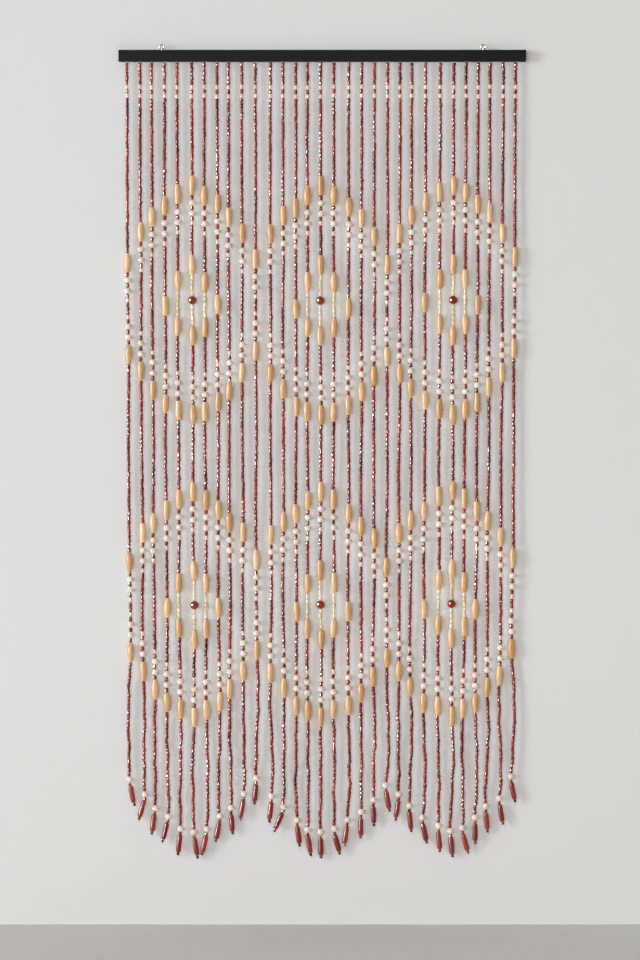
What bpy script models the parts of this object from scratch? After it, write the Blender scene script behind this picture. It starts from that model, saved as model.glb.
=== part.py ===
"""A beaded door curtain: 31 strings of turned beads that hang from a black wooden batten.

The batten's back face is the plane y = 0, with the origin at its middle; the front looks to -Y.
The beads make three columns of diamonds, one above the other in two bands. A string's place in the
pattern depends on how many strings away the middle of its diamond is, so the chart below has one row
for each of those steps. Heights are depths below the batten's underside.
"""

import math

import bmesh
import bpy
from mathutils import Matrix, Vector

MM = 0.001

# Batten, in metres
RAIL_LENGTH = 0.900
RAIL_DEPTH = 0.020
RAIL_HEIGHT = 0.025
RAIL_EDGE = 0.0006
MID_DEPTH = -RAIL_DEPTH / 2

# Groove in the batten's underside, and the strip in it that holds the strings
SEAT_GAP = 0.0003
GROOVE_LENGTH = 0.880
GROOVE_WIDTH = 0.006
GROOVE_HEIGHT = 0.008
STRIP_HEIGHT = 0.005
CUT_OVER = 0.002  # how far a cutter runs past the face that it opens

# Screw eyes in the batten's top edge
EYE_INSET = 0.095
EYE_WIRE_R = 0.0011
EYE_RING_R = 0.0051
EYE_NECK = 0.0010
SHANK_R = 0.0014
SHANK_DEPTH = 0.010
RING_STEPS = 20
WIRE_STEPS = 6
SHANK_SIDES = 8
HOLE_SIDES = 12
SMOOTH_BELOW = math.radians(35)

# Strings and beads: lengths and radii in millimetres
THREAD_R = 1.2
THREAD_SHOWN = 2.0
THREAD_IN_STRIP = 1.5
SHOULDER = 0.4
SMALL_R = 3.4
SMALL_LENGTH = 9.9
STRAW_R = 2.4
STRAW_TAPER = 1.0
LINK_LENGTH = 7.0
STRING_SIDES = 4
WELD = 0.00001
BOW_RINGS = (0.25, 0.5, 0.75)  # where along the last run its bow shows, as shares of its length
BEAD_LENGTH = {"long": 43.3, "round": 13.5, "ball": 18.0, "drop": 38.5, "stopper": 6.5}

# Each bead's turned form: (share of its length, radius)
BEAD_FORM = {
    "long": ((0.0, 3.9), (0.18, 6.9), (0.82, 6.9), (1.0, 3.9)),
    "round": ((0.0, SMALL_R), (0.5, 7.1), (1.0, SMALL_R)),
    "ball": ((0.0, STRAW_R), (0.26, 8.4), (0.74, 8.4), (1.0, STRAW_R)),
    "drop": ((0.0, 3.9), (0.12, 5.9), (0.86, 5.9), (1.0, 2.6)),
    "stopper": ((0.5, 3.1), (1.0, 1.6)),
}

# The middle string of each column of diamonds
MIDDLES = (5, 15, 25)

# Stringing chart, one row for each step away from the middle string, in millimetres of depth:
# head = top of the upper long bead, inner_head and inner_foot = ends of the small diamond inside,
# foot = bottom of the lower long bead
UPPER_BAND = (
    # head, inner_head, inner_foot, foot
    (252, 427, 627, 802),
    (272, 463, 606, 793),
    (296, 518, 561, 777),
    (320, None, None, 746),
    (359, None, None, 710),
    (419, None, None, 665),
)
LOWER_BAND = (
    # head, inner_head, inner_foot, foot
    (928, 1102, 1298, 1470),
    (945, 1129, 1272, 1452),
    (973, 1189, 1232, 1440),
    (997, None, None, 1408),
    (1024, None, None, 1373),
    (1084, None, None, 1327),
)
END_BEAD = (1702, 1694, 1671, 1649, 1623, 1587)

# The strings as they hang, from left to right:
# at = millimetres from the batten's left end, slip_up and slip_low = how far the string's beads sit
# below the chart in each band, lean = degrees that the drop bead swings to the right,
# bow = millimetres that the last run of small beads bows to the right
STRINGS = (
    # at, slip_up, slip_low, lean, bow
    (18, 4, 0, 12, -2),
    (47, -4, -4, -17, 0),
    (72.5, 2, 1, -9, 0),
    (101, 1, -3, -16, -2),
    (129, 0, 1, -6, 0),
    (161.5, 0, 1, 9, -1),
    (189, 3, 2, -13, 0),
    (217.5, -3, -4, -12, 0),
    (242.5, 3, 0, 5, 0),
    (272, -1, -5, -9, 0),
    (302, -4, -4, -5, 2),
    (335, 0, 0, -6, 0),
    (363, -1, -2, -23, 0),
    (391.5, 7, 5, 7, 0),
    (417, 2, 3, 10, 0),
    (446.5, 1, 0, 1, 1),
    (475.5, 3, 1, 14, 2),
    (508.5, 4, 4, -8, 2),
    (537, 5, 9, -1, 3),
    (565.5, 6, 8, 2, 2),
    (594.5, 9, 12, 10, 4),
    (622, 0, -4, -7, 2),
    (648, -3, -5, 5, 2),
    (678.5, -7, -1, 12, 5),
    (711, -4, -6, 4, 2),
    (741, 0, -2, 6, 5),
    (768, -4, -1, 16, 0),
    (795, -2, -1, 1, 4),
    (821, -6, -4, 6, 3),
    (850, -1, 5, 10, 3),
    (877, -9, -8, 11, 5),
)

# Which strings each strip carries: name, first string, last string
STRIPS = (
    ("strings_left", 0, 10),
    ("strings_middle", 11, 20),
    ("strings_right", 21, 30),
)

# How the strings hang: they draw in a little on their way down, and sway by about a millimetre
DRAW_IN_PER_M = 0.0145
SWAY = 0.0003
SWAY_GROWTH_PER_M = 2.2
SWAY_WAVES = ((0.085, 2.4, 1.0), (0.047, 4.1, 0.5))  # wave length over 2 pi, turn a string, share
SWAY_FADE = 0.10

# Colours from the photograph: (red, green, blue), roughness, metallic
FINISHES = {
    "rail_paint": ((0.022, 0.022, 0.024), 0.55, 0.0),
    "eye_steel": ((0.60, 0.60, 0.58), 0.35, 1.0),
    "bead_red": ((0.30, 0.035, 0.025), 0.30, 0.0),
}


def clear_scene():
    for obj in list(bpy.data.objects):
        bpy.data.objects.remove(obj, do_unlink=True)


def new_collection(name, hidden=False):
    collection = bpy.data.collections.new(name)
    collection.hide_render = hidden
    bpy.context.scene.collection.children.link(collection)
    return collection


def finish(name):
    """The Principled material of this name, made on first use."""
    material = bpy.data.materials.get(name)
    if material:
        return material
    colour, roughness, metallic = FINISHES[name]
    material = bpy.data.materials.new(name)
    material.use_nodes = True
    shader = material.node_tree.nodes["Principled BSDF"]
    shader.inputs["Base Color"].default_value = (*colour, 1.0)
    shader.inputs["Roughness"].default_value = roughness
    shader.inputs["Metallic"].default_value = metallic
    return material


def add_object(name, mesh, collection, material=None):
    obj = bpy.data.objects.new(name, mesh)
    if material:
        mesh.materials.append(material)
    collection.objects.link(obj)
    return obj


def mesh_of(name, build):
    """A mesh filled by build(bm)."""
    bm = bmesh.new()
    build(bm)
    mesh = bpy.data.meshes.new(name)
    bm.to_mesh(mesh)
    bm.free()
    return mesh


def box_mesh(name, low, high):
    low, high = Vector(low), Vector(high)
    size = Matrix.Diagonal((*(high - low), 1.0))
    place = Matrix.Translation((low + high) / 2)
    return mesh_of(name, lambda bm: bmesh.ops.create_cube(bm, size=1.0, matrix=place @ size))


def rod_mesh(name, low, radius, length, sides):
    """A closed upright rod that starts at low."""
    place = Matrix.Translation(Vector(low) + Vector((0, 0, length / 2)))
    return mesh_of(
        name,
        lambda bm: bmesh.ops.create_cone(
            bm, cap_ends=True, segments=sides, radius1=radius, radius2=radius, depth=length, matrix=place
        ),
    )


def as_helper(obj):
    """A cutter or guide: it shapes another object and isn't a piece itself."""
    obj.hide_render = True
    obj.display_type = "WIRE"
    return obj


def boolean(obj, helper, operation):
    """Cuts obj with the helper object, or joins to it all the objects of the helper collection."""
    modifier = obj.modifiers.new(f"{operation.lower()} {helper.name}", "BOOLEAN")
    modifier.operation = operation
    modifier.solver = "EXACT"
    if isinstance(helper, bpy.types.Collection):
        modifier.operand_type = "COLLECTION"
        modifier.collection = helper
    else:
        modifier.object = helper


def add_rail(parts, helpers):
    """The batten, its edges just broken, with the groove for the strip and a pilot hole for each eye."""
    half, top = RAIL_LENGTH / 2, RAIL_HEIGHT / 2
    mesh = box_mesh("rail", (-half, -RAIL_DEPTH, -top), (half, 0, top))
    rail = add_object("rail", mesh, parts, finish("rail_paint"))
    bevel = rail.modifiers.new("broken edges", "BEVEL")
    bevel.width = RAIL_EDGE
    bevel.segments = 1

    groove = box_mesh(
        "groove",
        (-GROOVE_LENGTH / 2, MID_DEPTH - GROOVE_WIDTH / 2, -top - CUT_OVER),
        (GROOVE_LENGTH / 2, MID_DEPTH + GROOVE_WIDTH / 2, -top + GROOVE_HEIGHT),
    )
    boolean(rail, as_helper(add_object("groove", groove, helpers)), "DIFFERENCE")
    for side in (-1, 1):
        bottom = top - SHANK_DEPTH - SEAT_GAP
        low = (side * (half - EYE_INSET), MID_DEPTH, bottom)
        hole = rod_mesh("pilot_hole", low, SHANK_R + SEAT_GAP, SHANK_DEPTH + CUT_OVER, HOLE_SIDES)
        boolean(rail, as_helper(add_object("pilot_hole", hole, helpers)), "DIFFERENCE")


def add_eye(name, x, parts, helpers):
    """A screw eye: a wire ring that faces the front, on a shank that stands in its pilot hole."""
    top = RAIL_HEIGHT / 2
    ring_z = top + EYE_NECK + EYE_WIRE_R + EYE_RING_R
    bpy.ops.mesh.primitive_torus_add(
        major_segments=RING_STEPS,
        minor_segments=WIRE_STEPS,
        major_radius=EYE_RING_R,
        minor_radius=EYE_WIRE_R,
        location=(x, MID_DEPTH, ring_z),
        rotation=(math.pi / 2, 0, 0),
    )
    ring = bpy.context.object
    ring.name = name
    ring.data.name = name
    ring.data.materials.append(finish("eye_steel"))
    for collection in list(ring.users_collection):
        collection.objects.unlink(ring)
    parts.objects.link(ring)

    length = SHANK_DEPTH + EYE_NECK + EYE_WIRE_R
    shank = rod_mesh(f"{name}_shank", (x, MID_DEPTH, top - SHANK_DEPTH), SHANK_R, length, SHANK_SIDES)
    boolean(ring, as_helper(add_object(f"{name}_shank", shank, helpers)), "UNION")
    ring.data.shade_smooth()
    ring.data.set_sharp_from_angle(angle=SMOOTH_BELOW)


def step_of(index):
    """How many strings away the nearest diamond's middle string is."""
    return min(abs(index - middle) for middle in MIDDLES)


def sway(index, down, turn):
    """How far a string swings out of line this far down, all in metres."""
    size = SWAY * (1 + SWAY_GROWTH_PER_M * down) * min(1.0, down / SWAY_FADE)
    waves = (share * math.sin(down / wave + phase * index + turn) for wave, phase, share in SWAY_WAVES)
    return size * sum(waves)


def last_run(index):
    """Depths at which a string's last run of small beads starts and ends."""
    step = step_of(index)
    slip = STRINGS[index][2]
    return LOWER_BAND[step][3] + slip, END_BEAD[step] + slip


def bow(index, depth):
    """How far the slack last run bows aside at this depth, in metres."""
    start, end = last_run(index)
    along = min(1.0, max(0.0, (depth - start) / (end - start)))
    return STRINGS[index][4] * MM * math.sin(math.pi * along)


def place_on_string(index, depth):
    """The string's centre line at this depth in millimetres, as a point in metres."""
    down = depth * MM
    across = STRINGS[index][0] * MM - RAIL_LENGTH / 2
    x = across * (1 - DRAW_IN_PER_M * down) + sway(index, down, 0.0) + bow(index, depth)
    return Vector((x, MID_DEPTH + sway(index, down, 1.7), -RAIL_HEIGHT / 2 - down))


def arc_beads(start, upwards):
    """The long bead and the two round ones beyond it that draw a diamond's edge, each as (kind, top)."""
    long_bead, round_bead = BEAD_LENGTH["long"], BEAD_LENGTH["round"]
    offsets = (
        ("long", 0.0, long_bead),
        ("round", long_bead + SMALL_LENGTH, round_bead),
        ("round", long_bead + 2 * SMALL_LENGTH + round_bead, round_bead),
    )
    if upwards:
        return [(kind, start - offset - length) for kind, offset, length in reversed(offsets)]
    return [(kind, start + offset) for kind, offset, _ in offsets]


def inner_beads(step, head, foot):
    """The small diamond inside: one long bead, or two with thin straw beads and the ball between them."""
    if head is None:
        return []
    if step == 2:
        return [("long", head)]
    straw_top = head + BEAD_LENGTH["long"]
    straw_foot = foot - BEAD_LENGTH["long"]
    middle = [("straw", straw_top, straw_foot)]
    if step == 0:
        ball_top = (head + foot - BEAD_LENGTH["ball"]) / 2
        ball_foot = ball_top + BEAD_LENGTH["ball"]
        middle = [("straw", straw_top, ball_top), ("ball", ball_top), ("straw", ball_foot, straw_foot)]
    return [("long", head), *middle, ("long", straw_foot)]


def large_beads(index):
    """Every bead of this string that is wider or thinner than the small red ones, from the top down."""
    step = step_of(index)
    _, slip_up, slip_low, _, _ = STRINGS[index]
    beads = []
    for band, slip in ((UPPER_BAND, slip_up), (LOWER_BAND, slip_low)):
        head, inner_head, inner_foot, foot = (row and row + slip for row in band[step])
        beads += arc_beads(head, upwards=False)
        beads += inner_beads(step, inner_head, inner_foot)
        beads += arc_beads(foot, upwards=True)
    return beads + [("round", END_BEAD[step] + slip_low - BEAD_LENGTH["round"] / 2)]


def bead_rings(kind, top, foot=None):
    """(depth, radius) down one bead, or down a run of straw beads that ends at foot."""
    if kind == "straw":
        return [(top + STRAW_TAPER, STRAW_R), (foot - STRAW_TAPER, STRAW_R)]
    return [(top + share * BEAD_LENGTH[kind], radius) for share, radius in BEAD_FORM[kind]]


def string_rows(index):
    """(depth, radius) of every ring of one string, from inside its strip down to its last round bead."""
    shown = THREAD_SHOWN
    root = (GROOVE_HEIGHT - STRIP_HEIGHT) / MM + THREAD_IN_STRIP
    rows = [(-root, THREAD_R), (shown, THREAD_R), (shown + SHOULDER, SMALL_R)]
    for bead in large_beads(index):
        rows += bead_rings(*bead)
    start, end = last_run(index)
    rows += [(start + share * (end - start), SMALL_R) for share in BOW_RINGS]
    return sorted(rows)


def drop_rows(top):
    """(depth, radius) of the short red bead, the drop and the stopper that end a string."""
    drop_top = top + LINK_LENGTH
    return bead_rings("drop", drop_top) + bead_rings("stopper", drop_top + BEAD_LENGTH["drop"])


def turn_profile(bm, rows):
    """Spins the rows, as a lathe profile with a point at each end, into a closed four-sided body."""
    profile = [(0, 0, -rows[0][0] * MM)]
    profile += [(radius * MM, 0, -depth * MM) for depth, radius in rows]
    profile += [(0, 0, -rows[-1][0] * MM)]
    verts = [bm.verts.new(point) for point in profile]
    edges = [bm.edges.new(pair) for pair in zip(verts, verts[1:])]
    turn = {"cent": (0, 0, 0), "axis": (0, 0, 1), "angle": 2 * math.pi, "steps": STRING_SIDES}
    bmesh.ops.spin(bm, geom=verts + edges, use_merge=True, **turn)
    bmesh.ops.remove_doubles(bm, verts=bm.verts, dist=WELD)
    bmesh.ops.recalc_face_normals(bm, faces=bm.faces)


def hang(bm, index, pivot):
    """Moves a straight turned string onto its line: above the pivot it sways, and below it the drop leans."""
    lean = Matrix.Rotation(math.radians(-STRINGS[index][3]), 3, "Y")
    for vert in bm.verts:
        depth = -vert.co.z / MM
        around = Vector((vert.co.x, vert.co.y, 0))
        if depth <= pivot:
            vert.co = place_on_string(index, depth) + around
        else:
            vert.co = place_on_string(index, pivot) + lean @ (around - Vector((0, 0, depth - pivot)) * MM)


def add_string(index, collection):
    """One string with its beads, turned as a straight body and then hung on its swaying line."""
    rows = string_rows(index)
    pivot = rows[-1][0]

    def build(bm):
        turn_profile(bm, rows + drop_rows(pivot))
        hang(bm, index, pivot)

    name = f"string_{index:02d}"
    as_helper(add_object(name, mesh_of(name, build), collection))


def add_strings(name, first, last, parts):
    """A narrow strip in the batten's groove, with its strings joined to it."""

    def edge(left, right):
        """The seam between two neighbouring strips, halfway between their nearest strings."""
        return (STRINGS[left][0] + STRINGS[right][0]) / 2 * MM - RAIL_LENGTH / 2

    groove_end = GROOVE_LENGTH / 2 - SEAT_GAP
    low_x = edge(first - 1, first) + SEAT_GAP / 2 if first > 0 else -groove_end
    high_x = edge(last, last + 1) - SEAT_GAP / 2 if last < len(STRINGS) - 1 else groove_end
    half = GROOVE_WIDTH / 2 - SEAT_GAP
    top = -RAIL_HEIGHT / 2 + GROOVE_HEIGHT - SEAT_GAP
    mesh = box_mesh(name, (low_x, MID_DEPTH - half, top - STRIP_HEIGHT), (high_x, MID_DEPTH + half, top))
    strip = add_object(name, mesh, parts, finish("bead_red"))
    guides = new_collection(f"{name}_guides", hidden=True)
    for index in range(first, last + 1):
        add_string(index, guides)
    boolean(strip, guides, "UNION")


def main():
    clear_scene()
    parts = new_collection("bead_curtain")
    helpers = new_collection("cutters", hidden=True)
    add_rail(parts, helpers)
    reach = RAIL_LENGTH / 2 - EYE_INSET
    add_eye("eye_left", -reach, parts, helpers)
    add_eye("eye_right", reach, parts, helpers)
    for name, first, last in STRIPS:
        add_strings(name, first, last, parts)


main()
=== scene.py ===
# %% [markdown]
# # A beaded door curtain
#
# 31 threads of turned wooden beads hang from a straight black batten. Most beads are small, red and
# glossy. Pale beads among them draw six diamonds, in three columns and two rows. This lesson strings the
# curtain the way a maker does: it lays down the chart, turns the beads, hangs them on their threads from
# the top down, and then gives each kind its finish. A frame file gives the sizes of the batten, the screw
# eyes and the groups of threads. Where each thread hangs was measured in a photograph. The chart, the
# slack and the finishes were set to match it.

# %% Tools and frame
import math
import random

import bmesh
import bpy
import numpy as np
from mathutils import Euler, Matrix, Vector, noise


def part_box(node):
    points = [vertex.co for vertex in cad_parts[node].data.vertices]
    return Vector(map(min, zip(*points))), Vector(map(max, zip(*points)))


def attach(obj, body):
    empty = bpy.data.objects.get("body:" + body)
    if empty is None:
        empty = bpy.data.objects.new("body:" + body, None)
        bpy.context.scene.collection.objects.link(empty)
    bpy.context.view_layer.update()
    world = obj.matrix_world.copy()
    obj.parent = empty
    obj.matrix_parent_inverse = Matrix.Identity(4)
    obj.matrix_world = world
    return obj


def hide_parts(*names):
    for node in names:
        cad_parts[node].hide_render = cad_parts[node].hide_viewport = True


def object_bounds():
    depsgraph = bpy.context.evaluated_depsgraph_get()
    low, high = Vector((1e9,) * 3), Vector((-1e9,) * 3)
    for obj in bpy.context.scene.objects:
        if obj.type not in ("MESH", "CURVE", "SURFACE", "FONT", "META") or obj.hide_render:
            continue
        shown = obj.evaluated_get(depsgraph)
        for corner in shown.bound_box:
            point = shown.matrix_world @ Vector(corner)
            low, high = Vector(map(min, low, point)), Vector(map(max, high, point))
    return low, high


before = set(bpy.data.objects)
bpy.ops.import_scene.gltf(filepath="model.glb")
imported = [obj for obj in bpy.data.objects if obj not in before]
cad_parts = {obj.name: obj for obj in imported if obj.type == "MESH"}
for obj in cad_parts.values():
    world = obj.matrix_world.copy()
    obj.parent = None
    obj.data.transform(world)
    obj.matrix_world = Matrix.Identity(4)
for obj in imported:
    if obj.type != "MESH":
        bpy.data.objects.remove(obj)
cad_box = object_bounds()
MM = 0.001
RAIL_LOW, RAIL_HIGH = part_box("rail")
RAIL_FOOT = RAIL_LOW.z
MID_DEPTH = (RAIL_LOW.y + RAIL_HIGH.y) / 2
SEED = 31
chance = random.Random(SEED)
# Blender's vector noise takes its seed from the clock unless it is given one
noise.seed_set(SEED)
print("frame nodes:", ", ".join(sorted(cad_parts)))

# %% [markdown]
# ## The camera
#
# The curtain is seen square on, from a few metres away, so its threads stay parallel and its diamonds
# keep their shape. The lens is worked out from the height of wall that the picture takes in. Blender
# counts the sensor's width along the picture's long side, which is the upright one here.

# %% Camera
CAMERA_AT = (-0.0050, -9.01, -0.9370)
PICTURE_HEIGHT = 2.121
SENSOR = 36.0

lens_data = bpy.data.cameras.new("camera")
lens_data.sensor_width = SENSOR
lens_data.lens = SENSOR * (MID_DEPTH - CAMERA_AT[1]) / PICTURE_HEIGHT
camera = bpy.data.objects.new("camera", lens_data)
camera.location = CAMERA_AT
camera.rotation_euler = (math.radians(90), 0, 0)
bpy.context.scene.collection.objects.link(camera)
bpy.context.scene.camera = camera
print(f"lens: {lens_data.lens:.1f} mm")

# %% [markdown]
# ## Making nodes
#
# All the finishes below are trees of shader nodes. One helper adds a node, sets its properties and its
# sockets, and joins a socket when it is given another node's output. A tree then reads from top to bottom
# like a recipe. The others make what most trees need: noise, a mix of two colours, a raised surface and a
# shader.

# %% Node helpers
def socket_of(node, key):
    """The input that key names: its name with _ for each space, or i and its number where names repeat."""
    if key[0] == "i" and key[1:].isdigit():
        return node.inputs[int(key[1:])]
    return node.inputs[key.replace("_", " ")]


def add_node(tree, kind, props=None, **sockets):
    """A new node. props sets its own settings, and each socket takes a value or another node's output."""
    node = tree.nodes.new(kind)
    for key, value in (props or {}).items():
        setattr(node, key, value)
    for key, value in sockets.items():
        socket = socket_of(node, key)
        if isinstance(value, bpy.types.NodeSocket):
            tree.links.new(value, socket)
        else:
            socket.default_value = value
    return node


def noise_value(tree, **sockets):
    """Noise from 0 to 1."""
    return add_node(tree, "ShaderNodeTexNoise", **sockets).outputs["Fac"]


def mix_colour(tree, amount, first, second):
    """Two colours mixed. The mix node's socket names repeat, so its colour sockets are taken by number."""
    return add_node(tree, "ShaderNodeMix", {"data_type": "RGBA"}, i0=amount, i6=first, i7=second).outputs[2]


def raised(tree, height, strength, distance):
    """The normal of a surface that is raised where height is large."""
    bump = add_node(tree, "ShaderNodeBump", Strength=strength, Distance=distance, Height=height)
    return bump.outputs["Normal"]


def new_material(name):
    """An empty material, and its tree."""
    material = bpy.data.materials.new(name)
    material.use_nodes = True
    material.node_tree.nodes.clear()
    return material, material.node_tree


def close_material(tree, shader):
    """Joins the finished shader to the material's output."""
    tree.links.new(shader, add_node(tree, "ShaderNodeOutputMaterial").inputs["Surface"])


def close_principled(tree, **sockets):
    """Ends a tree with the shader that suits paint, wood, thread and metal alike."""
    close_material(tree, add_node(tree, "ShaderNodeBsdfPrincipled", **sockets).outputs["BSDF"])


# %% [markdown]
# ## The room
#
# The curtain needs a wall close behind it, because half of its look is the soft shadow of each thread.
# The wall here is a plain painted plane. Seen from behind it is transparent, so that the curtain's back
# can be looked at too. The floor is a second plane, faintly clouded.

# %% Wall and floor
WALL_GAP = 0.002
WALL_HALF = 4.0
WALL_COLOUR = (0.80, 0.80, 0.80, 1)
FLOOR_Z = -1.920
FLOOR_HALF = 6.0
FLOOR_COLOUR = (0.85, 0.86, 0.85)
FLOOR_CLOUDS = (0.94, 1.06)


def plane(name, half, matrix, material):
    """A square that reaches half each way. It is only there for the picture."""
    bm = bmesh.new()
    bmesh.ops.create_grid(bm, x_segments=1, y_segments=1, size=half, matrix=matrix)
    mesh = bpy.data.meshes.new(name)
    bm.to_mesh(mesh)
    bm.free()
    mesh.materials.append(material)
    obj = bpy.data.objects.new(name, mesh)
    bpy.context.scene.collection.objects.link(obj)
    return obj


wall_paint, tree = new_material("wall_paint")
roller = raised(tree, noise_value(tree, Scale=260.0, Detail=4.0), strength=0.04, distance=0.001)
painted = add_node(tree, "ShaderNodeBsdfDiffuse", Color=WALL_COLOUR, Normal=roller)
see_through = add_node(tree, "ShaderNodeBsdfTransparent")
side = add_node(tree, "ShaderNodeNewGeometry")
wall_mix = add_node(
    tree,
    "ShaderNodeMixShader",
    i0=side.outputs["Backfacing"],
    i1=painted.outputs["BSDF"],
    i2=see_through.outputs["BSDF"],
)
close_material(tree, wall_mix.outputs["Shader"])

floor_paint, tree = new_material("floor_paint")
floor_tones = [tuple(factor * value for value in FLOOR_COLOUR) + (1,) for factor in FLOOR_CLOUDS]
clouded = mix_colour(tree, noise_value(tree, Scale=3.0, Detail=5.0), *floor_tones)
close_principled(tree, Base_Color=clouded, Roughness=0.9, Specular_IOR_Level=0.0)

behind = Matrix.Translation((0, RAIL_HIGH.y + WALL_GAP, FLOOR_Z + WALL_HALF))
plane("backdrop", WALL_HALF, behind @ Matrix.Rotation(math.pi / 2, 4, "X"), wall_paint)
plane("floor", FLOOR_HALF, Matrix.Translation((0, 0, FLOOR_Z)), floor_paint)
print(f"wall {WALL_GAP / MM:.0f} mm behind the batten, floor at {FLOOR_Z:.2f} m")

# %% [markdown]
# ## The light
#
# One broad light stands far to the left, level with the curtain. It skims the wall, so each thread's
# shadow falls nearly two centimetres to its right. A weaker one fills in from beside the camera, and
# hides its own shadows behind the threads. The fill is left out of the gloss, because it would turn the
# reds grey. The gleam does the opposite: it lights nothing, and only shows as a glint on the gloss, like
# a white card in a studio.

# %% Light
WORLD_STRENGTH = 0.27
WARM = (1.02, 0.995, 0.945)
COOL = (0.94, 0.99, 1.10)
CARD = (1.0, 0.95, 0.95)
LIGHTS = (
    # name, degrees to the right, degrees up, distance, width, height, power, colour, lit, in the gloss
    ("softbox", -60, 3, 20.0, 6.5, 6.6, 1930.0, COOL, True, True),
    ("front_fill", -8, 2, 12.0, 8.8, 3.2, 500.0, WARM, True, False),
    ("gleam", -64, 6, 12.0, 3.8, 7.0, 12000.0, CARD, False, True),
)

aim = Vector((0, 0, (cad_box[0].z + cad_box[1].z) / 2))
for name, across, up, distance, width, height, power, colour, lit, in_gloss in LIGHTS:
    lamp_data = bpy.data.lights.new(name, "AREA")
    lamp_data.shape = "RECTANGLE"
    lamp_data.size, lamp_data.size_y = width, height
    lamp_data.energy = power
    lamp_data.color = colour
    lamp = bpy.data.objects.new(name, lamp_data)
    towards = Euler((math.radians(-up), 0, math.radians(across))).to_matrix() @ Vector((0, -1, 0))
    lamp.location = aim + towards * distance
    lamp.rotation_euler = (-towards).to_track_quat("-Z", "Y").to_euler()
    lamp.visible_camera = False
    lamp.visible_diffuse = lit
    lamp.visible_glossy = in_gloss
    bpy.context.scene.collection.objects.link(lamp)
    print(f"{name} at", [round(value, 2) for value in lamp.location])

world = bpy.data.worlds.new("pale_room")
world.use_nodes = True
world.node_tree.nodes["Background"].inputs["Color"].default_value = (*WARM, 1)
world.node_tree.nodes["Background"].inputs["Strength"].default_value = WORLD_STRENGTH
bpy.context.scene.world = world
bpy.context.scene.view_settings.view_transform = "Standard"

# %% [markdown]
# ## The stringing chart
#
# A bead curtain is strung from a chart. Each thread's place in the pattern depends only on how many
# threads away the middle of its diamond is, so six rows are enough for each band. A row gives four depths
# below the batten, in millimetres: the top of the upper long bead, both ends of the small diamond inside,
# and the foot of the lower long bead. Each thread's last round bead has its middle at END_BEAD.

# %% Chart
MIDDLES = (5, 15, 25)
UPPER_BAND = (
    # head, inner_head, inner_foot, foot
    (252, 427, 627, 802),
    (272, 463, 606, 793),
    (296, 518, 561, 777),
    (320, None, None, 746),
    (359, None, None, 710),
    (419, None, None, 665),
)
LOWER_BAND = (
    # head, inner_head, inner_foot, foot
    (928, 1102, 1298, 1470),
    (945, 1129, 1272, 1452),
    (973, 1189, 1232, 1440),
    (997, None, None, 1408),
    (1024, None, None, 1373),
    (1084, None, None, 1327),
)
END_BEAD = (1702, 1694, 1671, 1649, 1623, 1587)
print(f"{len(MIDDLES)} columns of diamonds, in 2 bands of {len(UPPER_BAND)} steps")

# %% [markdown]
# ## The threads as they hang
#
# No two threads hang alike. This list repeats the one that the solids are built from. For each thread
# from left to right it has its place along the batten, how far its beads sit below the chart in the upper
# and the lower band, how many degrees its drop bead leans to the right, and how many millimetres its
# slack last run of small beads bows to the right. Two threads end clearly to the left of where they hang
# above. The threads also draw in a little on their way down, more and more so, sway by about a
# millimetre, and their last runs wave and ripple.

# %% Threads
STRINGS = (
    # at, slip_up, slip_low, lean, bow
    (18, 4, 0, 12, -2),
    (47, -4, -4, -17, 0),
    (72.5, 2, 1, -9, 0),
    (101, 1, -3, -16, -2),
    (129, 0, 1, -6, 0),
    (161.5, 0, 1, 9, -1),
    (189, 3, 2, -13, 0),
    (217.5, -3, -4, -12, 0),
    (242.5, 3, 0, 5, 0),
    (272, -1, -5, -9, 0),
    (302, -4, -4, -5, 2),
    (335, 0, 0, -6, 0),
    (363, -1, -2, -23, 0),
    (391.5, 7, 5, 7, 0),
    (417, 2, 3, 10, 0),
    (446.5, 1, 0, 1, 1),
    (475.5, 3, 1, 14, 2),
    (508.5, 4, 4, -8, 2),
    (537, 5, 9, -1, 3),
    (565.5, 6, 8, 2, 2),
    (594.5, 9, 12, 10, 4),
    (622, 0, -4, -7, 2),
    (648, -3, -5, 5, 2),
    (678.5, -7, -1, 12, 5),
    (711, -4, -6, 4, 2),
    (741, 0, -2, 6, 5),
    (768, -4, -1, 16, 0),
    (795, -2, -1, 1, 4),
    (821, -6, -4, 6, 3),
    (850, -1, 5, 10, 3),
    (877, -9, -8, 11, 5),
)
COLUMNS = {"left": range(0, 11), "middle": range(11, 21), "right": range(21, 31)}
# The share of a thread's place that it draws in for each metre down, and for each metre squared
DRAW_IN = (0.0082, 0.0045)
SWAY = 0.0003
SWAY_GROWTH_PER_M = 2.2
SWAY_WAVES = (
    # metres for each radian, turn from one thread to the next, share
    (0.085, 2.4, 1.0),
    (0.047, 4.1, 0.5),
)
SWAY_FADE = 0.10
SWAY_TURN_X = 0.0
SWAY_TURN_Y = 1.7
ENDS_ASIDE = {0: -4.5, 5: -5.0}
WAVE = 1.5
WAVE_TURN = 2.1
RIPPLE = 0.8
RIPPLE_WAVES = (
    # millimetres for each radian, turn from one thread to the next, share
    (14.0, 3.7, 1.0),
    (8.5, 5.3, 0.6),
)
RIPPLE_FADE = 4


def clamped(value):
    """The value, kept between 0 and 1."""
    return min(1.0, max(0.0, value))


def step_of(index):
    """How many threads away the nearest diamond's middle thread is."""
    return min(abs(index - middle) for middle in MIDDLES)


def sway(index, down, turn):
    """How far a thread sways aside at this depth, both in metres. turn shifts its waves."""
    size = SWAY * (1 + SWAY_GROWTH_PER_M * down) * min(1.0, down / SWAY_FADE)
    waves = (share * math.sin(down / wave + phase * index + turn) for wave, phase, share in SWAY_WAVES)
    return size * sum(waves)


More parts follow.
